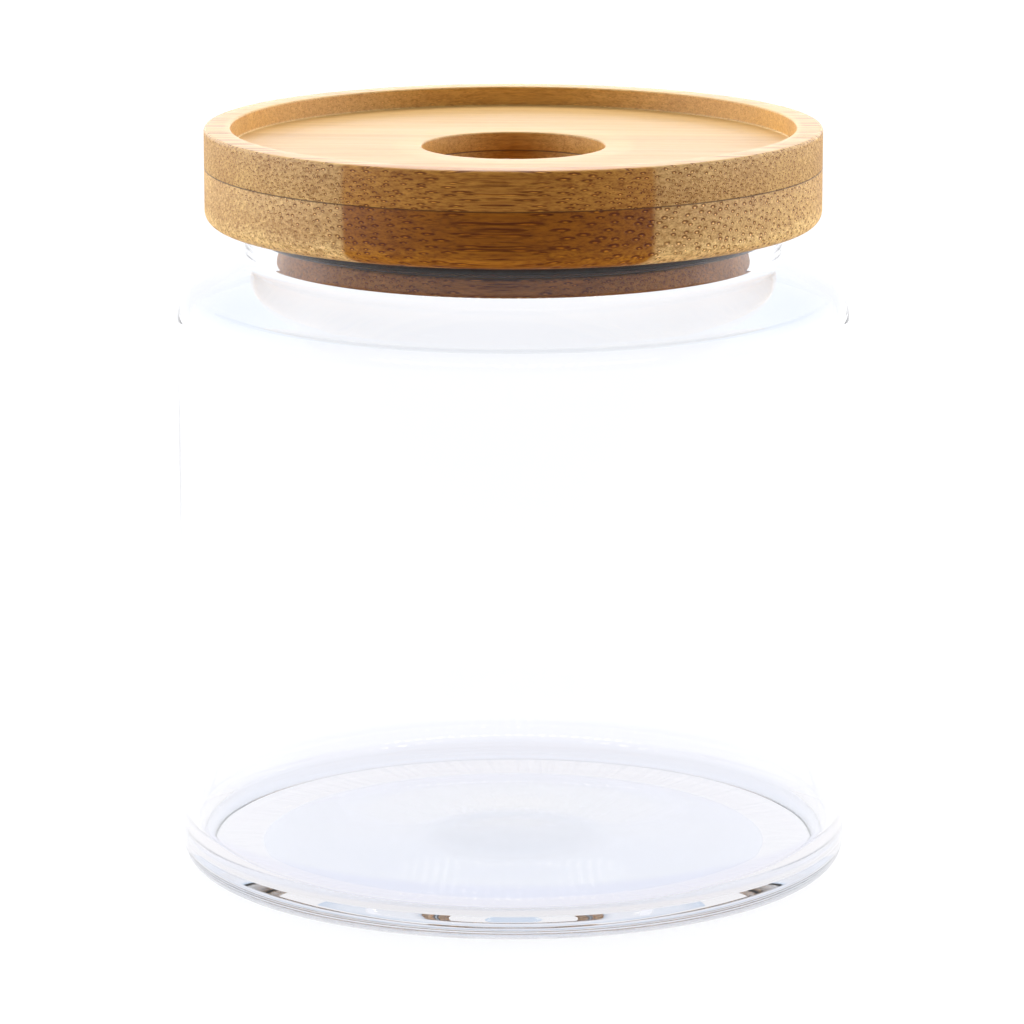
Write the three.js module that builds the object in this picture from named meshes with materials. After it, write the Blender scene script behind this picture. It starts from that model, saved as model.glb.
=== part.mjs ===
// Food canister: a glass jar with a short neck, and a round bamboo lid that plugs into it.
// Millimetres, +Z up, origin at the centre of the surface that the jar stands on.
import * as THREE from 'three';

const SEGMENTS = 64;
const ARC_STEPS = 6;

// Glass jar
const JAR_RADIUS = 50;
const WALL = 2;
const FLOOR = 3.1;
const FOOT_INNER_RADIUS = 38;
const FOOT_RECESS = 0.8;
const FOOT_BEND_RADIUS = 26.6;
const FOOT_BEND_RECESS = 0.56;
const BASE_CORNER = 3.4;
const FLOOR_CORNER_WIDE = 4;
const FLOOR_CORNER_HIGH = 5.5;
const SHOULDER_START = 83;
const SHOULDER_CORNER = 5;
const SHOULDER_SLOPE = 32;
const NECK_RADIUS = 39.9;
const NECK_FILLET = 1.4;
const LIP_TOP = 97;

// Lid boards: two glued round boards, with a shallow stacking recess and a finger hole
const LID_RADIUS = 45.8;
const LID_BOTTOM = 97.2;
const BOARD_JOINT = 105.6;
const LID_TOP = 111.4;
const RECESS_RADIUS = 41.9;
const RECESS_DEPTH = 3;
const FINGER_HOLE_RADIUS = 13.6;
const LID_LOWER_CORNER = 2;
const LID_UPPER_CORNER = 0.6;
const HOLE_CHAMFER = 0.5;

// Plug: one turned disc, with a rebate at its top that holds the seal ring
const PLUG_RADIUS = 35.5;
const PLUG_BOTTOM = 91.2;
const REBATE_FLOOR = 94.3;
const REBATE_RADIUS = 32.8;
const PLUG_CHAMFER = 0.5;

// Seal ring: a silicone band with two thin lips that wipe the neck
const SEAL_CLEARANCE = 0.2;
const SEAL_BAND_RADIUS = 35.6;
const SEAL_LIP_RADIUS = 37.6;
const SEAL_LIP_ROOT = 0.9;
const SEAL_LIP_EDGE = 0.4;

// Points on a part of an ellipse about a centre, from one angle in degrees to another.
function arc(centreR, centreZ, wide, high, fromDeg, toDeg) {
  const points = [];
  for (let step = 0; step <= ARC_STEPS; step += 1) {
    const angle = THREE.MathUtils.degToRad(fromDeg + (toDeg - fromDeg) * step / ARC_STEPS);
    points.push([centreR + wide * Math.cos(angle), centreZ + high * Math.sin(angle)]);
  }
  return points;
}

// Turns a profile of [radius, height] points about +Z. The profile runs outwards along the
// underside, up the outside and back inwards, so that the faces point out.
function turned(profile) {
  const points = profile.map(([radius, height]) => new THREE.Vector2(radius, height));
  const geometry = new THREE.LatheGeometry(points, SEGMENTS);
  geometry.rotateX(Math.PI / 2);
  return geometry;
}

function piece(name, profile, color, roughness) {
  const material = new THREE.MeshStandardMaterial({ color, roughness, metalness: 0 });
  const mesh = new THREE.Mesh(turned(profile), material);
  mesh.name = name;
  return mesh;
}

// The shoulder rises at a slope from its rounded corner to a fillet at the foot of the neck.
// Inside and outside share the centres of both arcs, so that the wall stays even.
function jarProfile() {
  const inner = JAR_RADIUS - WALL;
  const lip = WALL / 2;
  const slope = THREE.MathUtils.degToRad(SHOULDER_SLOPE);
  const cornerEnd = 90 - SHOULDER_SLOPE;
  const cornerR = JAR_RADIUS - SHOULDER_CORNER;
  const filletR = NECK_RADIUS + NECK_FILLET;
  const filletEnd = 270 - SHOULDER_SLOPE;
  const filletZ = SHOULDER_START + (cornerR - filletR) * Math.tan(slope)
    + (SHOULDER_CORNER + NECK_FILLET) / Math.cos(slope);
  const innerTurn = NECK_FILLET + WALL;
  const innerCorner = SHOULDER_CORNER - WALL;
  const floorCornerR = inner - FLOOR_CORNER_WIDE;
  const floorCornerZ = FLOOR + FLOOR_CORNER_HIGH;
  return [
    [0, FOOT_RECESS],
    [FOOT_BEND_RADIUS, FOOT_BEND_RECESS],
    [FOOT_INNER_RADIUS, 0],
    ...arc(JAR_RADIUS - BASE_CORNER, BASE_CORNER, BASE_CORNER, BASE_CORNER, -90, 0),
    ...arc(cornerR, SHOULDER_START, SHOULDER_CORNER, SHOULDER_CORNER, 0, cornerEnd),
    ...arc(filletR, filletZ, NECK_FILLET, NECK_FILLET, filletEnd, 180),
    ...arc(NECK_RADIUS - lip, LIP_TOP - lip, lip, lip, 0, 180),
    ...arc(filletR, filletZ, innerTurn, innerTurn, 180, filletEnd),
    ...arc(cornerR, SHOULDER_START, innerCorner, innerCorner, cornerEnd, 0),
    ...arc(floorCornerR, floorCornerZ, FLOOR_CORNER_WIDE, FLOOR_CORNER_HIGH, 0, -90),
    [0, FLOOR],
  ];
}

function lowerBoardProfile() {
  const corner = LID_LOWER_CORNER;
  return [
    [FINGER_HOLE_RADIUS, LID_BOTTOM],
    ...arc(LID_RADIUS - corner, LID_BOTTOM + corner, corner, corner, -90, 0),
    [LID_RADIUS, BOARD_JOINT],
    [FINGER_HOLE_RADIUS, BOARD_JOINT],
    [FINGER_HOLE_RADIUS, LID_BOTTOM],
  ];
}

function upperBoardProfile() {
  const corner = LID_UPPER_CORNER;
  const recessFloor = LID_TOP - RECESS_DEPTH;
  return [
    [FINGER_HOLE_RADIUS, BOARD_JOINT],
    [LID_RADIUS, BOARD_JOINT],
    ...arc(LID_RADIUS - corner, LID_TOP - corner, corner, corner, 0, 90),
    [RECESS_RADIUS + HOLE_CHAMFER, LID_TOP],
    [RECESS_RADIUS, LID_TOP - HOLE_CHAMFER],
    [RECESS_RADIUS, recessFloor],
    [FINGER_HOLE_RADIUS + HOLE_CHAMFER, recessFloor],
    [FINGER_HOLE_RADIUS, recessFloor - HOLE_CHAMFER],
    [FINGER_HOLE_RADIUS, BOARD_JOINT],
  ];
}

function plugProfile() {
  return [
    [0, PLUG_BOTTOM],
    [PLUG_RADIUS - PLUG_CHAMFER, PLUG_BOTTOM],
    [PLUG_RADIUS, PLUG_BOTTOM + PLUG_CHAMFER],
    [PLUG_RADIUS, REBATE_FLOOR - PLUG_CHAMFER],
    [PLUG_RADIUS - PLUG_CHAMFER, REBATE_FLOOR],
    [REBATE_RADIUS, REBATE_FLOOR],
    [REBATE_RADIUS, LID_BOTTOM],
    [0, LID_BOTTOM],
  ];
}

// One lip of the seal, widest at its root on the band and turned up a little at its edge.
function sealLip(rootHeight) {
  const edgeHeight = rootHeight + (SEAL_LIP_ROOT - SEAL_LIP_EDGE);
  return [
    [SEAL_BAND_RADIUS, rootHeight],
    [SEAL_LIP_RADIUS, edgeHeight],
    [SEAL_LIP_RADIUS, edgeHeight + SEAL_LIP_EDGE],
    [SEAL_BAND_RADIUS, rootHeight + SEAL_LIP_ROOT],
  ];
}

function sealProfile() {
  const inner = REBATE_RADIUS + SEAL_CLEARANCE;
  const bottom = REBATE_FLOOR + SEAL_CLEARANCE;
  const top = LID_BOTTOM - SEAL_CLEARANCE;
  return [
    [inner, bottom],
    ...sealLip(bottom),
    ...sealLip(top - SEAL_LIP_ROOT),
    [inner, top],
    [inner, bottom],
  ];
}

const canister = new THREE.Group();
canister.add(piece('glass_jar', jarProfile(), 0xe6eff6, 0.05));
canister.add(piece('lid_lower_board', lowerBoardProfile(), 0xa8763c, 0.6));
canister.add(piece('lid_upper_board', upperBoardProfile(), 0xd9ac73, 0.6));
canister.add(piece('lid_plug', plugProfile(), 0x9c7350, 0.6));
canister.add(piece('seal_ring', sealProfile(), 0xb9b4aa, 0.4));

export default canister;
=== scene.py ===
"""Food canister: a clear glass jar with a laminated bamboo plug lid and a silicone seal ring."""
import math

import bmesh
import bpy
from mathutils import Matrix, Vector

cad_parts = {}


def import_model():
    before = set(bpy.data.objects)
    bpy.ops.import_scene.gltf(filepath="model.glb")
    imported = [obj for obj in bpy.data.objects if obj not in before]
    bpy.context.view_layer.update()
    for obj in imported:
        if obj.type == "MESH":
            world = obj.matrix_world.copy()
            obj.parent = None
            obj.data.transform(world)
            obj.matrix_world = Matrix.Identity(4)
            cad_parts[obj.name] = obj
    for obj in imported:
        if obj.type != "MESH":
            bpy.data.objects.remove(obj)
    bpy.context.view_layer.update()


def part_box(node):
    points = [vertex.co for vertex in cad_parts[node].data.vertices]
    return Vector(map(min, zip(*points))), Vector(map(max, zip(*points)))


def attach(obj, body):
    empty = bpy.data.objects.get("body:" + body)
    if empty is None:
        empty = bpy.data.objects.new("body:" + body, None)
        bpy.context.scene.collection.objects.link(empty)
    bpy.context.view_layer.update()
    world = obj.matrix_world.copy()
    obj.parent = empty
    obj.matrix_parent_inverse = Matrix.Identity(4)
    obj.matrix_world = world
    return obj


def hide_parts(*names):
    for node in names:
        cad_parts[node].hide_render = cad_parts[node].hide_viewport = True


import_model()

MM = 0.001

# Sizes that the CAD boxes don't show. They are the CAD model's, apart from small edges: its chamfers
# are round here, and the upper board's outer edge is 0.1 mm smaller. The glue grooves and the punt's
# step are only here.
WALL = 2.0 * MM
FLOOR = 3.1 * MM
FOOT_INNER_RADIUS = 38.0 * MM
FOOT_RECESS = 0.8 * MM
PUNT_RADIUS = 13.0 * MM
PUNT_STEP = 0.12 * MM
PUNT_SOFTNESS = 0.7 * MM
BASE_CORNER = 3.4 * MM
FLOOR_CORNER = (4.0 * MM, 5.5 * MM)
SHOULDER_START = 83.0 * MM
SHOULDER_CORNER = 5.0 * MM
SHOULDER_SLOPE = 32
NECK_RADIUS = 39.9 * MM
NECK_FILLET = 1.4 * MM

RECESS_RADIUS = 41.9 * MM
RECESS_DEPTH = 3.0 * MM
FINGER_HOLE_RADIUS = 13.6 * MM
LID_LOWER_CORNER = 2.0 * MM
LID_UPPER_CORNER = 0.5 * MM
SMALL_EDGE = 0.3 * MM
GLUE_GROOVE = 0.08 * MM

REBATE_HEIGHT = 3.1 * MM
REBATE_RADIUS = 32.8 * MM
PLUG_EDGE = 0.6 * MM

SEAL_CLEARANCE = 0.2 * MM
SEAL_BAND_RADIUS = 35.6 * MM
SEAL_LIP_ROOT = 0.9 * MM
SEAL_LIP_EDGE = 0.4 * MM

GRAIN_TURN = math.radians(3.1)
FIBRE_DRIFT = 0.36 * MM
STRIP_WIDTH = 25.3 * MM
STRIP_START = -65.4 * MM

# The fibre bundles in three sizes: cell, radius, and the grades at which a size starts,
# is full, is still full and has ended.
BUNDLES = [
    (1.0 * MM, 0.29 * MM, 0.62, 0.74, 9.0, 10.0),
    (0.82 * MM, 0.215 * MM, 0.25, 0.37, 0.62, 0.74),
    (0.62 * MM, 0.17 * MM, -10.0, -9.0, 0.25, 0.37),
]
# The bundles' lattice is turned so that its rows don't line up with the boards' front.
LATTICE_TURN = math.radians(27)
# The bundles' dark caps and light cores are their own colours. The caps darkened more on their upper side
# and the cores set low are painted shade and highlight, as on small pits lit from above.
BUNDLE_CAP_AND_SHADE = (0.42, 0.29, 0.15)
BUNDLE_CORE_AND_HIGHLIGHT = (1.75, 1.75, 1.6)
# Painted shade: walls and undersides inside the carved radius are darker and warmer, as the recess and the
# finger hole lie in shade.
WALL_PAINTED_SHADE = (0.96, 0.8, 0.5)

# Wood colours: the strips in general, the front strip of each board, and the plug.
FLESH = (0.60, 0.355, 0.11)
DARK_FLESH = (0.30, 0.102, 0.005)
OLIVE_FLESH = (0.46, 0.21, 0.034)
PLUG_FLESH = (0.49, 0.19, 0.03)
# The lower board's foot gets lighter towards its bottom edge: partly lighter sanded wood, partly painted
# light from the floor below.
PALE_AND_LIT_FOOT_TINT = (1.75, 2.1, 2.8)
GLUE_COLOR = (0.06, 0.024, 0.008)

# How fine the wood's noises are along the fibres and across them.
DRIFT_FINENESS = (45.0, 150.0, 150.0)
STREAK_FINENESS = (30, 1600, 1600)
BROAD_FINENESS = (9, 110, 160)
GRIT_FINENESS = (500, 4200, 4200)

# The clean cut inside the carved radius: where it fades out, where its walls and undersides get a darker,
# warmer painted shade, and how much of the roughness and of the bundles is left in it. Faces that look up
# are sanded.
CUT_FADE = (0.2 * MM, 1.2 * MM)
SHADED_WALL_REACH = (0.6 * MM, 0.1 * MM)
CUT_ROUGHNESS = 0.55
CUT_BUNDLES = 0.25
SANDED_ROUGHNESS = 0.35

GLUE_LINE = (0.14 * MM, 0.06 * MM)
GLUE_SHARE = 0.7
WOOD_RELIEF = 0.07 * MM
WOOD_SPECULAR = 0.2

# Where the noises darken or lighten the wood: noise, start, end, most, tint.
WOOD_TONES = [
    ("broad", 0.35, 0.65, 0.35, (0.72, 0.6, 0.5)),
    ("streak", 0.4, 0.7, 0.7, (0.58, 0.46, 0.34)),
    ("streak", 0.44, 0.28, 0.5, (1.3, 1.35, 1.45)),
    ("grit", 0.45, 0.68, 0.7, (0.55, 0.45, 0.34)),
    ("grit", 0.45, 0.28, 0.45, (1.3, 1.35, 1.45)),
]

# Where the base's tint ends, then the zones of the glass's painted shade, each from where it starts to where
# it is full.
BASE_ZONE_TOP = (8.2 * MM, 9.4 * MM)
SHOULDER_ZONE_FOOT = (85.0 * MM, 86.5 * MM)
SHOULDER_ZONE_TOP = (90.5 * MM, 88.5 * MM)
CORNER_ZONE_RADIUS = (44.6 * MM, 46.0 * MM)
CORNER_ZONE_HEIGHT = (5.8 * MM, 4.8 * MM)
PUNT_ZONE_RADIUS = (17.0 * MM, 9.0 * MM)
PUNT_ZONE_HEIGHT = (9.0 * MM, 8.0 * MM)
PUNT_SHARE = 0.7

GLASS_IOR = 1.47
UNEVEN_FINENESS = 22.0
UNEVEN_ZONES = 0.4 * MM
UNEVEN_STRENGTH = 0.25
UNEVEN_DEPTH = 0.2 * MM

# The two colours of the seal's mottle: a near-black brown that is painted shade, for the gap under the lid
# where it sits.
SEAL_PAINTED_SHADE_DARK = (0.035, 0.014, 0.004)
SEAL_PAINTED_SHADE_LIGHT = (0.075, 0.038, 0.016)

# Glass tints: the walls, a painted shade on the shoulder, the thick base, and a painted shade on its corner
# and punt on top of that.
WALL_TINT = (0.985, 0.99, 1.0)
SHOULDER_PAINTED_SHADE = (0.935, 0.95, 0.97)
BASE_TINT = (0.935, 0.94, 0.99)
CORNER_AND_PUNT_PAINTED_SHADE = (0.89, 0.895, 0.9)

# The studio: what is seen directly or through glass, what the glass mirrors, and what lights the object.
# A lamp's sizes go from where its light is nothing to where it is full.
BACKDROP = (1.0, 1.01, 1.03)
OVERHEAD = (0.85, 0.93, 1.0)
IMAGE_HIGH = (0.6, 0.75, 0.92)
IMAGE_CAMERA_SIDE = (0.3, 0.29, 0.29)
LAMP_SPACING = 0.078
LAMP_HALF_WIDTH = (0.3, 0.15)
LAMP_ROW_END = (0.95, 0.8)
LAMP_HEIGHT = 0.427
LAMP_HALF_HEIGHT = (0.03, 0.015)
LAMP_LIGHT = (9.0, 8.2, 6.0)
SOFT_LIGHT = (1.0, 1.0, 1.0)
TOP_LIGHT = (3.7, 3.75, 4.0)
LEFT_LIGHT = (7.0, 8.7, 11.6)
RIGHT_LIGHT = (6.2, 7.6, 9.8)
BACK_LIGHT = (4.6, 4.8, 5.4)
CAMERA_SIDE = (0.08, 0.04, 0.0)
FLOOR_COLOR = (0.97, 0.98, 1.0)
FLOOR_GLOW = 0.94
FLOOR_GLOW_MIRRORED_IN_FRONT = 0.4
LIGHT_FROM_BELOW = (0.6, 0.42, 0.3)
FLOOR_BOUNCE = (0.12, 0.11, 0.1)

# Where the studio's parts lie, by the x, y or z of a direction, from where each starts to where it is full.
IMAGE_HIGH_PART = (0.15, 0.6)
CAMERA_SIDE_PART = (-0.4, 0.15)
TOP_PART = (0.35, 0.8)
BACK_PART = (0.5, 0.85)
BACK_PART_TOP = (0.5, 0.3)
LEFT_PART = (-0.75, -0.95)
RIGHT_PART = (0.75, 0.95)

# The camera: it looks down at a point near the middle of the object's height.
LENS = 195.8
PITCH = math.radians(12.149)
CAMERA_DISTANCE = 0.83664
AIM_SIDE = -0.2 * MM
AIM_HEIGHT = 0.474

# Light bounces: the thick base carries light through many turns before it comes out.
MAX_BOUNCES = 48
GLOSSY_BOUNCES = 40
TRANSMISSION_BOUNCES = 24

AROUND = 256
ARC_STEPS = 12
FLOOR_SIZE = 12

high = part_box("glass_jar")[1]
JAR_RADIUS, LIP_TOP = high.x, high.z
low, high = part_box("lid_upper_board")
LID_RADIUS, BOARD_JOINT, LID_TOP = high.x, low.z, high.z
LID_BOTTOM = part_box("lid_lower_board")[0].z
low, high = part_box("lid_plug")
PLUG_RADIUS, PLUG_BOTTOM = high.x, low.z
low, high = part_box("seal_ring")
SEAL_LIP_RADIUS, SEAL_BOTTOM, SEAL_TOP = high.x, low.z, high.z


# ---------------------------------------------------------------- turned meshes

def arc(r, z, wide, tall, start, end, steps=ARC_STEPS):
    """Points of a part of an ellipse round (r, z), between two angles in degrees."""
    angles = [math.radians(start + (end - start) * i / steps) for i in range(steps + 1)]
    return [(r + wide * math.cos(a), z + tall * math.sin(a)) for a in angles]


def line(start, end, steps):
    """Points from start to end, without the two ends."""
    return [
        (start[0] + (end[0] - start[0]) * i / steps, start[1] + (end[1] - start[1]) * i / steps)
        for i in range(1, steps)
    ]


def turned(name, profile, closed, sharp_angle=35):
    """A solid turned about +Z from a profile of (radius, height).
    A profile that isn't closed ends on the axis."""
    bm = bmesh.new()
    rings = []
    for radius, height in profile:
        if radius < 1e-9:
            rings.append([bm.verts.new((0, 0, height))])
            continue
        turns = [2 * math.pi * i / AROUND for i in range(AROUND)]
        rings.append([bm.verts.new((radius * math.cos(t), radius * math.sin(t), height)) for t in turns])
    pairs = list(zip(rings, rings[1:]))
    if closed:
        pairs.append((rings[-1], rings[0]))
    for lower, upper in pairs:
        for i in range(AROUND):
            j = (i + 1) % AROUND
            corners = [lower[i % len(lower)], lower[j % len(lower)]]
            corners += [upper[j % len(upper)], upper[i % len(upper)]]
            bm.faces.new(list(dict.fromkeys(corners)))
    bmesh.ops.recalc_face_normals(bm, faces=bm.faces)
    mesh = bpy.data.meshes.new(name)
    bm.to_mesh(mesh)
    bm.free()
    mesh.shade_smooth()
    mesh.set_sharp_from_angle(angle=math.radians(sharp_angle))
    piece = bpy.data.objects.new(name, mesh)
    bpy.context.scene.collection.objects.link(piece)
    return piece


def place(piece, node, body, material):
    """Gives a piece its material, its place in the frame and its colour slot."""
    piece.data.materials.append(material)
    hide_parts(node)
    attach(piece, body)


# ---------------------------------------------------------------- profiles

def foot_recess():
    """The shallow hollow under the jar, with the faint round step that the punt leaves at its middle."""
    points = []
    for i in range(25):
        r = FOOT_INNER_RADIUS * i / 24
        rise = FOOT_RECESS * (0.5 + 0.5 * math.cos(math.pi * r / FOOT_INNER_RADIUS))
        step = PUNT_STEP / (1 + math.exp((r - PUNT_RADIUS) / PUNT_SOFTNESS))
        points.append((r, max(rise - step, 0)))
    return points


def jar_profile():
    """Out along the foot, up the outside, over the lip, down the inside and in along the floor."""
    inner = JAR_RADIUS - WALL
    lip = WALL / 2
    slope = math.radians(SHOULDER_SLOPE)
    corner_end = 90 - SHOULDER_SLOPE
    corner_r = JAR_RADIUS - SHOULDER_CORNER
    fillet_r = NECK_RADIUS + NECK_FILLET
    fillet_end = 270 - SHOULDER_SLOPE
    fillet_z = SHOULDER_START + (corner_r - fillet_r) * math.tan(slope)
    fillet_z += (SHOULDER_CORNER + NECK_FILLET) / math.cos(slope)
    inner_turn = NECK_FILLET + WALL
    inner_corner = SHOULDER_CORNER - WALL
    floor_top = FLOOR + FLOOR_CORNER[1]
    return [
        *foot_recess(),
        *arc(JAR_RADIUS - BASE_CORNER, BASE_CORNER, BASE_CORNER, BASE_CORNER, -90, 0),
        *line((JAR_RADIUS, BASE_CORNER), (JAR_RADIUS, SHOULDER_START), 12),
        *arc(corner_r, SHOULDER_START, SHOULDER_CORNER, SHOULDER_CORNER, 0, corner_end),
        *arc(fillet_r, fillet_z, NECK_FILLET, NECK_FILLET, fillet_end, 180),
        *arc(NECK_RADIUS - lip, LIP_TOP - lip, lip, lip, 0, 180),
        *arc(fillet_r, fillet_z, inner_turn, inner_turn, 180, fillet_end),
        *arc(corner_r, SHOULDER_START, inner_corner, inner_corner, corner_end, 0),
        *line((inner, SHOULDER_START), (inner, floor_top), 12),
        *arc(inner - FLOOR_CORNER[0], floor_top, *FLOOR_CORNER, 0, -90, 16),
        *line((inner - FLOOR_CORNER[0], FLOOR), (0, FLOOR), 8),
        (0, FLOOR),
    ]


def lower_board_profile():
    """Out from the finger hole along the underside, round the edge, and back along the glue joint."""
    corner, groove, hole = LID_LOWER_CORNER, GLUE_GROOVE, FINGER_HOLE_RADIUS
    return [
        (hole, LID_BOTTOM),
        *line((hole, LID_BOTTOM), (LID_RADIUS - corner, LID_BOTTOM), 6),
        *arc(LID_RADIUS - corner, LID_BOTTOM + corner, corner, corner, -90, 0),
        *arc(LID_RADIUS - groove, BOARD_JOINT - groove, groove, groove, 0, 90, 4),
        *line((LID_RADIUS - groove, BOARD_JOINT), (hole + groove, BOARD_JOINT), 6),
        *arc(hole + groove, BOARD_JOINT - groove, groove, groove, 90, 180, 4),
    ]


def upper_board_profile():
    """Out from the finger hole along the glue joint, over the rim, and back along the recess."""
    corner, edge, groove = LID_UPPER_CORNER, SMALL_EDGE, GLUE_GROOVE
    hole, recess, floor = FINGER_HOLE_RADIUS, RECESS_RADIUS, LID_TOP - RECESS_DEPTH
    return [
        *arc(hole + groove, BOARD_JOINT + groove, groove, groove, 180, 270, 4),
        *line((hole + groove, BOARD_JOINT), (LID_RADIUS - groove, BOARD_JOINT), 6),
        *arc(LID_RADIUS - groove, BOARD_JOINT + groove, groove, groove, 270, 360, 4),
        *arc(LID_RADIUS - corner, LID_TOP - corner, corner, corner, 0, 90, 6),
        *arc(recess + edge, LID_TOP - edge, edge, edge, 90, 180, 6),
        *arc(recess - edge, floor + edge, edge, edge, 0, -90, 5),
        *line((recess - edge, floor), (hole + edge, floor), 6),
        *arc(hole + edge, floor - edge, edge, edge, 90, 180, 6),
    ]


def plug_profile():
    """Out along the plug's underside, up its edge, and in to the narrower part that the seal sits on."""
    edge = PLUG_EDGE
    rebate = PLUG_BOTTOM + REBATE_HEIGHT
    return [
        (0, PLUG_BOTTOM),
        *line((0, PLUG_BOTTOM), (PLUG_RADIUS - edge, PLUG_BOTTOM), 6),
        *arc(PLUG_RADIUS - edge, PLUG_BOTTOM + edge, edge, edge, -90, 0, 8),
        *arc(PLUG_RADIUS - edge / 2, rebate - edge / 2, edge / 2, edge / 2, 0, 90, 6),
        (REBATE_RADIUS, rebate),
        (REBATE_RADIUS, LID_BOTTOM),
        (0, LID_BOTTOM),
    ]


def seal_lip(root):
    """One lip of the seal, from its root on the band to a rounded edge."""
    edge_z = root + SEAL_LIP_ROOT - SEAL_LIP_EDGE / 2
    half = SEAL_LIP_EDGE / 2
    return [
        (SEAL_BAND_RADIUS, root),
        *arc(SEAL_LIP_RADIUS - half, edge_z, half, half, -90, 90, 8),
        (SEAL_BAND_RADIUS, root + SEAL_LIP_ROOT),
    ]


def seal_profile():
    """The seal's band, with a lip at its bottom and one at its top."""
    inner = REBATE_RADIUS + SEAL_CLEARANCE
    return [
        (inner, SEAL_BOTTOM),
        *seal_lip(SEAL_BOTTOM),
        *seal_lip(SEAL_TOP - SEAL_LIP_ROOT),
        (inner, SEAL_TOP),
    ]


# ---------------------------------------------------------------- materials

class Graph:
    """Short calls that add shader nodes to one material or world."""

    def __init__(self, tree):
        self.tree = tree

    def set(self, socket, value):
        """Links an output to the socket, or sets the socket's own value."""
        if isinstance(value, bpy.types.NodeSocket):
            self.tree.links.new(value, socket)
        else:
            socket.default_value = value

    def add(self, kind, inputs=(), output=0, **settings):
        """Adds a node, fills its inputs, and gives one of its outputs."""
        node = self.tree.nodes.new(kind)
        for key, value in settings.items():
            setattr(node, key, value)
        for key, value in dict(inputs).items():
            self.set(node.inputs[key], value)
        return node.outputs[output]

    def math(self, operation, *values, use_clamp=False):
        return self.add("ShaderNodeMath", enumerate(values), operation=operation, use_clamp=use_clamp)

    def smooth(self, value, start, end, low=0.0, high=1.0):
        """low where value is at start, high where it is at end, and a smooth step between."""
        ends = {"Value": value, "From Min": start, "From Max": end, "To Min": low, "To Max": high}
        return self.add("ShaderNodeMapRange", ends, interpolation_type="SMOOTHSTEP")

    def both(self, first, second):
        """1 where both values are 1."""
        return self.math("MULTIPLY", first, second)

    def mix(self, share, first, second, blend="MIX"):
        sockets = {0: share, 6: first, 7: second}
        return self.add("ShaderNodeMix", sockets, 2, data_type="RGBA", blend_type=blend)

    def tint(self, share, color, by):
        """The colour multiplied by a tint, as far as share says."""
        return self.mix(share, color, self.mix(1.0, color, rgb(*by), "MULTIPLY"))

    def parts(self, vector):
        node = self.add("ShaderNodeSeparateXYZ", {0: vector}).node
        return node.outputs[0], node.outputs[1], node.outputs[2]

    def vector(self, x, y, z):
        return self.add("ShaderNodeCombineXYZ", {0: x, 1: y, 2: z})

    def from_axis(self, x, y):
        """How far a point is from the object's axis."""
        flat = self.vector(x, y, 0.0)
        return self.add("ShaderNodeVectorMath", {0: flat}, 1, operation="LENGTH")

    def stretched(self, parts, scales):
        """The vector of parts, each multiplied by its own scale."""
        return self.vector(*(self.math("MULTIPLY", part, scale) for part, scale in zip(parts, scales)))

    def turn(self, vector, angle):
        return self.add("ShaderNodeVectorRotate", {"Vector": vector, "Angle": angle}, rotation_type="Z_AXIS")

    def noise(self, vector, scale, detail=2.0, roughness=0.5):
        inputs = {"Vector": vector, "Scale": scale, "Detail": detail, "Roughness": roughness}
        return self.add("ShaderNodeTexNoise", inputs)

    def place(self):
        """Where a point is on its piece, which is the row frame at rest."""
        return self.add("ShaderNodeTexCoord", output=3)


def new_material(name):
    """A new material, its graph, and the inputs of its shader."""
    material = bpy.data.materials.new(name)
    material.use_nodes = True
    return material, Graph(material.node_tree), material.node_tree.nodes["Principled BSDF"].inputs


def rgb(red, green, blue):
    return (red, green, blue, 1.0)


def glass():
    """Clear glass with slightly uneven faces. It has a faint blue cast in the base, which is thicker than
    the walls, and painted shade that makes it greyer in the shoulder, in the base's corner and over the
    punt, where its refraction looks darker."""
    material, g, shader = new_material("clear_glass")
    spot = g.place()
    x, y, z = g.parts(spot)
    radius = g.from_axis(x, y)
    uneven = g.noise(spot, UNEVEN_FINENESS)
    height = g.math("MULTIPLY_ADD", uneven, UNEVEN_ZONES, z)
    color = g.mix(g.smooth(height, *BASE_ZONE_TOP), rgb(*BASE_TINT), rgb(*WALL_TINT))
    # Painted shade: the shoulder is tinted bluish grey where its refraction shows as a band.
    shoulder = g.both(g.smooth(height, *SHOULDER_ZONE_FOOT), g.smooth(height, *SHOULDER_ZONE_TOP))
    color = g.mix(shoulder, color, rgb(*SHOULDER_PAINTED_SHADE))
    corner = g.both(g.smooth(radius, *CORNER_ZONE_RADIUS), g.smooth(height, *CORNER_ZONE_HEIGHT))
    punt = g.both(g.smooth(radius, *PUNT_ZONE_RADIUS), g.smooth(height, *PUNT_ZONE_HEIGHT))
    # Painted shade: the base's corner and the punt are tinted grey where the refraction looks darker.
    corner_and_punt_shade = g.math("MAXIMUM", corner, g.math("MULTIPLY", punt, PUNT_SHARE))
    color = g.tint(corner_and_punt_shade, color, CORNER_AND_PUNT_PAINTED_SHADE)
    g.set(shader["Base Color"], color)
    bumps = {"Height": uneven, "Strength": UNEVEN_STRENGTH, "Distance": UNEVEN_DEPTH}
    g.set(shader["Normal"], g.add("ShaderNodeBump", bumps))
    shader["Roughness"].default_value = 0
    shader["Transmission Weight"].default_value = 1
    shader["IOR"].default_value = GLASS_IOR
    return material


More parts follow.
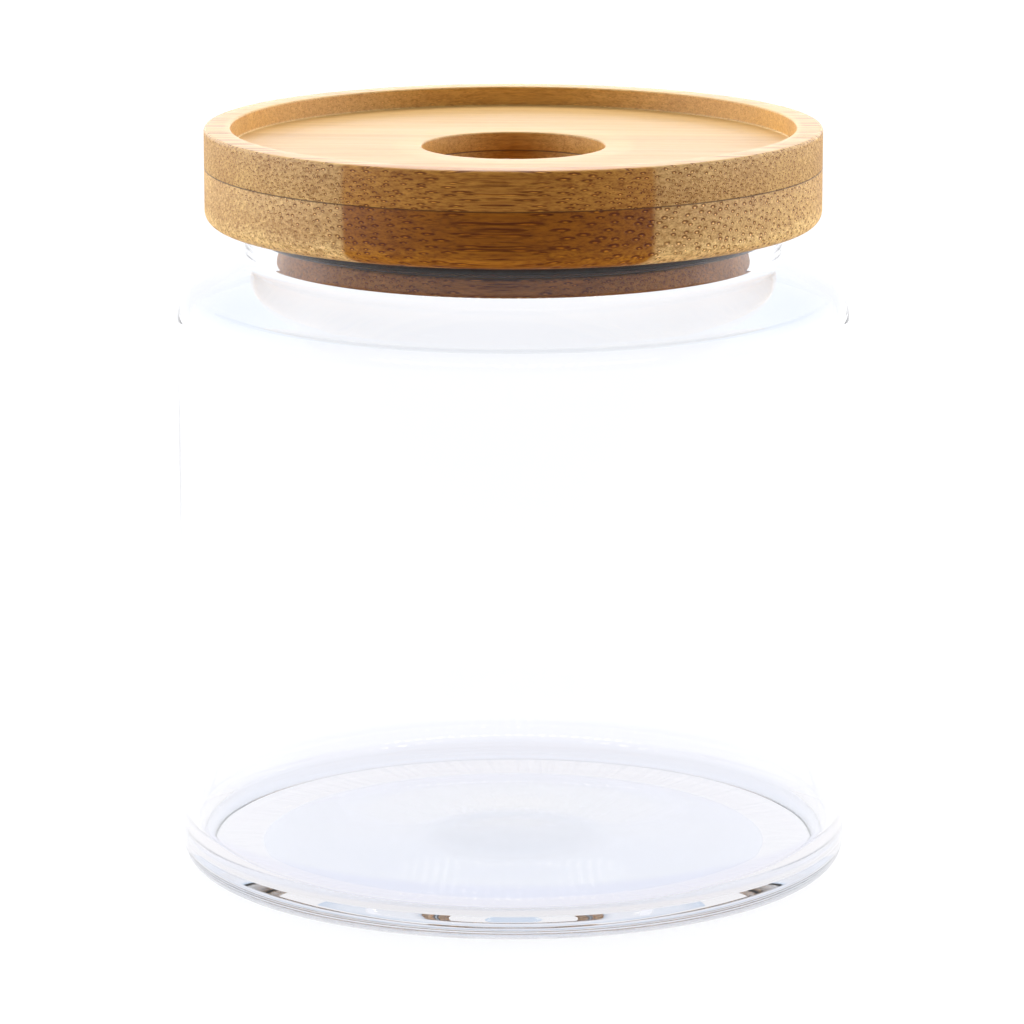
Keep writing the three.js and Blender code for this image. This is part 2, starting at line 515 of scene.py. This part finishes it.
def bundles(g, y, z, cell, radius):
    """The cut fibre bundles as rods along X. Gives the dark fibre sheath round each one, darkened more on
    its upper side as painted shade, and its light centre, set below the middle as a painted highlight, as on
    small pits lit from above.
    """
    across = g.vector(g.math("MULTIPLY", y, 1 / cell), g.math("MULTIPLY", z, 1 / cell), 0.0)
    across = g.turn(across, LATTICE_TURN)
    inputs = {"Vector": across, "Scale": 1.0, "Randomness": 0.6}
    cells = g.add("ShaderNodeTexVoronoi", inputs, voronoi_dimensions="2D", feature="F1").node
    chance = g.parts(cells.outputs["Color"])[0]
    size = g.math("MULTIPLY_ADD", chance, 0.4 * radius / cell, 0.8 * radius / cell)
    reach = g.math("DIVIDE", cells.outputs["Distance"], size)
    inputs = {0: across, 1: cells.outputs["Position"]}
    offset = g.add("ShaderNodeVectorMath", inputs, operation="SUBTRACT")
    # Where a point lies above or below the bundle's middle. The cap is darkened more on its upper side and
    # the core sits below the middle: painted shade and highlight, as on small pits lit from above.
    above = g.math("DIVIDE", g.parts(g.turn(offset, -LATTICE_TURN))[1], size)
    core_and_highlight = g.smooth(g.math("MULTIPLY_ADD", above, 0.35, reach), 0.5, 0.1)
    cap_and_shade = g.math("MULTIPLY", g.smooth(reach, 1.1, 0.75), g.smooth(above, -1.1, 0.5, 0.45, 1.0))
    return g.math("SUBTRACT", cap_and_shade, core_and_highlight, use_clamp=True), core_and_highlight


def bamboo(name, ground, bottom, top, seed, coarse, carved, front_strip=None, glue=None, pale_and_lit_foot=False):
    """Laminated bamboo with its fibres along X. coarse says how large the fibre bundles are:
    at the bottom, at the top, and how much that grows from left to right.
    Inside the carved radius the wood is cut so cleanly that the bundles hardly show, and its walls and
    undersides are darker and warmer with painted shade.
    A front strip is the colour of the strip nearest the camera, where it has its own.
    glue is the height of the glue line, where there is one.
    A pale and lit foot is wood that gets lighter towards the bottom edge: partly lighter sanded wood, partly
    painted light from the floor below."""
    material, g, shader = new_material(name)
    x, y, z = g.parts(g.turn(g.place(), GRAIN_TURN))

    along = g.math("DIVIDE", g.math("SUBTRACT", y, STRIP_START), STRIP_WIDTH)
    strip = g.math("FLOOR", along)
    chance = g.add("ShaderNodeTexWhiteNoise", {"W": g.math("ADD", strip, seed)}, 1, noise_dimensions="1D")
    red, green, blue = g.parts(chance)

    wander = g.noise(g.stretched((x, y, z), DRIFT_FINENESS), 1.0)
    drift = g.math("MULTIPLY_ADD", wander, FIBRE_DRIFT, -FIBRE_DRIFT / 2)
    fibre_y = g.math("ADD", g.math("MULTIPLY_ADD", red, 0.07, y), drift)
    fibre_z = g.math("ADD", g.math("MULTIPLY_ADD", green, 0.05, z), drift)

    level = g.math("DIVIDE", g.math("SUBTRACT", z, bottom), top - bottom)
    grade = g.math("MULTIPLY_ADD", level, coarse[1] - coarse[0], coarse[0])
    grade = g.math("ADD", grade, g.math("MULTIPLY", x, coarse[2] / (2 * LID_RADIUS)))
    grade = g.math("ADD", grade, g.math("MULTIPLY_ADD", blue, 0.2, -0.1))
    cap_and_shade = 0.0
    core_and_highlight = 0.0
    shift = 0.0
    for cell, radius, start, full, end, gone in BUNDLES:
        share = g.math("MULTIPLY", g.smooth(grade, start, full), g.smooth(grade, gone, end))
        caps_and_shade, cores_and_highlight = bundles(g, g.math("ADD", fibre_y, shift), fibre_z, cell, radius)
        cap_and_shade = g.math("MULTIPLY_ADD", caps_and_shade, share, cap_and_shade)
        core_and_highlight = g.math("MULTIPLY_ADD", cores_and_highlight, share, core_and_highlight)
        shift += 0.031

    streak = g.noise(g.stretched((x, y, z), STREAK_FINENESS), 1.0, 4.0, 0.65)
    broad = g.noise(g.stretched((x, y, z), BROAD_FINENESS), 1.0, 3.0)
    grit = g.noise(g.stretched((x, y, z), GRIT_FINENESS), 1.0, 2.0, 0.6)
    up = g.parts(g.add("ShaderNodeNewGeometry", output=1))[2]
    radius = g.from_axis(x, y)
    cut_start, cut_end = (carved + fade for fade in CUT_FADE)
    rough = g.smooth(radius, cut_start, cut_end, CUT_ROUGHNESS, 1.0)
    rough = g.math("MULTIPLY", rough, g.smooth(up, 0.9, 0.5, SANDED_ROUGHNESS, 1.0))

    tone = g.math("MULTIPLY_ADD", blue, 0.16, 0.9)
    tone = g.vector(tone, g.math("POWER", tone, 1.15), g.math("POWER", tone, 1.4))
    color = g.mix(1.0, rgb(*ground), tone, "MULTIPLY")
    if front_strip:
        in_front = g.smooth(g.math("ADD", along, g.math("MULTIPLY_ADD", grit, 0.02, -0.01)), 1.012, 0.988)
        color = g.mix(in_front, color, rgb(*front_strip))
    # Lighter towards the bottom edge: partly sanded wood, partly painted light from the floor below.
    if pale_and_lit_foot:
        paler_and_lit = g.smooth(g.math("MULTIPLY_ADD", streak, 0.3, level), 0.62, 0.1, 0.0, 0.8)
        color = g.tint(paler_and_lit, color, PALE_AND_LIT_FOOT_TINT)
    noises = {"broad": broad, "streak": streak, "grit": grit}
    for noise, start, end, most, tint in WOOD_TONES:
        share = g.math("MULTIPLY", g.smooth(noises[noise], start, end, 0.0, most), rough)
        color = g.tint(share, color, tint)
    crisp = g.smooth(radius, cut_start, cut_end, CUT_BUNDLES, 1.0)
    cap_and_shade = g.math("MULTIPLY", cap_and_shade, crisp)
    core_and_highlight = g.math("MULTIPLY", core_and_highlight, crisp)
    # Painted shade: walls and undersides inside the carved radius get darker and warmer.
    shaded_wall = g.smooth(radius, *(carved + edge for edge in SHADED_WALL_REACH))
    shaded_wall = g.both(shaded_wall, g.smooth(up, 0.5, 0.2))
    color = g.tint(shaded_wall, color, WALL_PAINTED_SHADE)
    # Bundles: their own dark caps and light cores, with painted shade on the caps' upper side and a painted
    # highlight low in each core.
    color = g.tint(cap_and_shade, color, BUNDLE_CAP_AND_SHADE)
    color = g.tint(core_and_highlight, color, BUNDLE_CORE_AND_HIGHLIGHT)
    if glue:
        seam = g.smooth(g.math("ABSOLUTE", g.math("SUBTRACT", z, glue)), *GLUE_LINE)
        color = g.mix(g.math("MULTIPLY", seam, GLUE_SHARE), color, rgb(*GLUE_COLOR))
    g.set(shader["Base Color"], color)

    height = g.math("MULTIPLY_ADD", core_and_highlight, 0.1, g.math("MULTIPLY", cap_and_shade, -0.7))
    height = g.math("MULTIPLY_ADD", streak, 0.5, height)
    height = g.math("MULTIPLY_ADD", grit, -0.5, height)
    bumps = {"Height": height, "Strength": rough, "Distance": WOOD_RELIEF}
    g.set(shader["Normal"], g.add("ShaderNodeBump", bumps))
    g.set(shader["Roughness"], g.math("MULTIPLY_ADD", streak, 0.25, 0.38))
    shader["Specular IOR Level"].default_value = WOOD_SPECULAR
    return material


def silicone():
    """Slightly cloudy silicone painted near-black brown as the shade it sits in under the lid, with a fine
    mottle.
    """
    material, g, shader = new_material("silicone")
    mottle = g.noise(g.place(), 900.0, 3.0)
    # Painted shade: the seal's near-black brown, mottled.
    g.set(shader["Base Color"], g.mix(mottle, rgb(*SEAL_PAINTED_SHADE_DARK), rgb(*SEAL_PAINTED_SHADE_LIGHT)))
    g.set(shader["Roughness"], g.smooth(mottle, 0.3, 0.7, 0.28, 0.42))
    shader["Specular IOR Level"].default_value = 0.12
    shader["Subsurface Weight"].default_value = 0.25
    shader["Subsurface Scale"].default_value = 1.0 * MM
    return material


# ---------------------------------------------------------------- the object

lower_wood = bamboo(
    "bamboo_lower", FLESH, LID_BOTTOM, BOARD_JOINT, seed=3.0, coarse=(0.45, 0.7, 0.7),
    carved=RECESS_RADIUS, front_strip=DARK_FLESH, glue=BOARD_JOINT, pale_and_lit_foot=True,
)
upper_wood = bamboo(
    "bamboo_upper", FLESH, BOARD_JOINT, LID_TOP, seed=11.0, coarse=(0.0, 0.6, 0.15),
    carved=RECESS_RADIUS, front_strip=OLIVE_FLESH, glue=BOARD_JOINT,
)
plug_wood = bamboo(
    "bamboo_plug", PLUG_FLESH, PLUG_BOTTOM, LID_BOTTOM, seed=23.0, coarse=(0.3, 0.15, 0.1), carved=0.0,
)

jar = turned("jar_glass", jar_profile(), False)
lower_board = turned("lower_board", lower_board_profile(), True)
upper_board = turned("upper_board", upper_board_profile(), True)
plug = turned("plug", plug_profile(), False)
seal = turned("seal", seal_profile(), True, 50)

place(jar, "glass_jar", "jar", glass())
place(lower_board, "lid_lower_board", "lid", lower_wood)
place(upper_board, "lid_upper_board", "lid", upper_wood)
place(plug, "lid_plug", "lid", plug_wood)
place(seal, "seal_ring", "seal", silicone())


# ---------------------------------------------------------------- studio

def ray_kinds(g):
    """What a ray does: 1 if it lights the wood or the seal, and 1 if it is a mirror image in the glass."""
    rays = g.add("ShaderNodeLightPath").node
    reflected = g.math("GREATER_THAN", rays.outputs["Glossy Depth"], 0.5)
    blurred = g.math("MULTIPLY", reflected, g.math("SUBTRACT", 1.0, rays.outputs["Is Singular Ray"]))
    lighting = g.math("MAXIMUM", blurred, g.math("GREATER_THAN", rays.outputs["Diffuse Depth"], 0.5))
    return lighting, g.math("SUBTRACT", reflected, lighting, use_clamp=True)


def floor():
    """A white sheet, lit from inside like a light table, so that glass on it stays clear."""
    bm = bmesh.new()
    bmesh.ops.create_grid(bm, x_segments=1, y_segments=1, size=FLOOR_SIZE)
    mesh = bpy.data.meshes.new("floor")
    bm.to_mesh(mesh)
    bm.free()
    sheet = bpy.data.objects.new("floor", mesh)
    bpy.context.scene.collection.objects.link(sheet)
    material, g, shader = new_material("floor_white")
    shader["Base Color"].default_value = rgb(*FLOOR_BOUNCE)
    shader["Roughness"].default_value = 1
    shader["Specular IOR Level"].default_value = 0
    lighting, mirrored = ray_kinds(g)
    g.set(shader["Emission Color"], g.mix(lighting, rgb(*FLOOR_COLOR), rgb(*LIGHT_FROM_BELOW)))
    in_front = g.smooth(g.parts(g.place())[1], 0.0, -0.2)
    dimmer = FLOOR_GLOW_MIRRORED_IN_FRONT - FLOOR_GLOW
    glow = g.math("MULTIPLY", g.math("MULTIPLY", mirrored, in_front), dimmer)
    glow = g.math("ADD", glow, FLOOR_GLOW)
    g.set(shader["Emission Strength"], g.math("MULTIPLY_ADD", lighting, 1 - FLOOR_GLOW, glow))
    mesh.materials.append(material)


def world():
    """A white cyclorama. What is seen directly or through glass pales to a cool grey overhead.
    What lights the object is bright above, behind and at the sides, and dim on the camera's side.
    The glass also mirrors a row of small lamps above the camera."""
    sky = bpy.data.worlds.new("studio")
    bpy.context.scene.world = sky
    sky.use_nodes = True
    g = Graph(sky.node_tree)
    x, y, z = g.parts(g.add("ShaderNodeTexCoord"))
    high = g.smooth(z, *IMAGE_HIGH_PART)
    toward_camera = g.smooth(g.math("MULTIPLY", y, -1.0), *CAMERA_SIDE_PART)
    studio = g.mix(g.smooth(z, *TOP_PART), rgb(*SOFT_LIGHT), rgb(*TOP_LIGHT))
    behind = g.both(g.smooth(y, *BACK_PART), g.smooth(z, *BACK_PART_TOP))
    studio = g.mix(behind, studio, rgb(*BACK_LIGHT))
    studio = g.mix(toward_camera, studio, rgb(*CAMERA_SIDE))
    studio = g.mix(g.smooth(x, *LEFT_PART), studio, rgb(*LEFT_LIGHT))
    studio = g.mix(g.smooth(x, *RIGHT_PART), studio, rgb(*RIGHT_LIGHT))
    image = g.mix(high, rgb(*BACKDROP), rgb(*IMAGE_HIGH))
    image = g.mix(toward_camera, image, rgb(*IMAGE_CAMERA_SIDE))
    seen = g.mix(high, rgb(*BACKDROP), rgb(*OVERHEAD))
    turn = g.math("ARCTAN2", x, g.math("MULTIPLY", y, -1.0))
    along_row = g.math("FRACT", g.math("DIVIDE", turn, LAMP_SPACING))
    lamp = g.math("ABSOLUTE", g.math("SUBTRACT", along_row, 0.5))
    in_row = g.smooth(g.math("ABSOLUTE", turn), *LAMP_ROW_END)
    lamp = g.both(g.smooth(lamp, *LAMP_HALF_WIDTH), in_row)
    row = g.math("ABSOLUTE", g.math("SUBTRACT", z, LAMP_HEIGHT))
    lamp = g.both(lamp, g.smooth(row, *LAMP_HALF_HEIGHT))
    image = g.mix(lamp, image, rgb(*LAMP_LIGHT))
    lighting, mirrored = ray_kinds(g)
    color = g.mix(lighting, g.mix(mirrored, seen, image), studio)
    g.set(sky.node_tree.nodes["Background"].inputs["Color"], color)


def camera():
    """A long lens that looks slightly down at the object, with no shift."""
    data = bpy.data.cameras.new("camera")
    data.sensor_width = 36
    data.lens = LENS
    viewer = bpy.data.objects.new("camera", data)
    bpy.context.scene.collection.objects.link(viewer)
    aim = Vector((AIM_SIDE, 0, AIM_HEIGHT * LID_TOP))
    back = Vector((0, -math.cos(PITCH), math.sin(PITCH)))
    viewer.location = aim + back * CAMERA_DISTANCE
    viewer.rotation_mode = "QUATERNION"
    viewer.rotation_quaternion = (-back).to_track_quat("-Z", "Y")
    data.clip_start, data.clip_end = 0.01, 100
    bpy.context.scene.camera = viewer


floor()
world()
camera()
bpy.context.scene.view_settings.view_transform = "Standard"
bpy.context.scene.cycles.max_bounces = MAX_BOUNCES
bpy.context.scene.cycles.glossy_bounces = GLOSSY_BOUNCES
bpy.context.scene.cycles.transmission_bounces = TRANSMISSION_BOUNCES
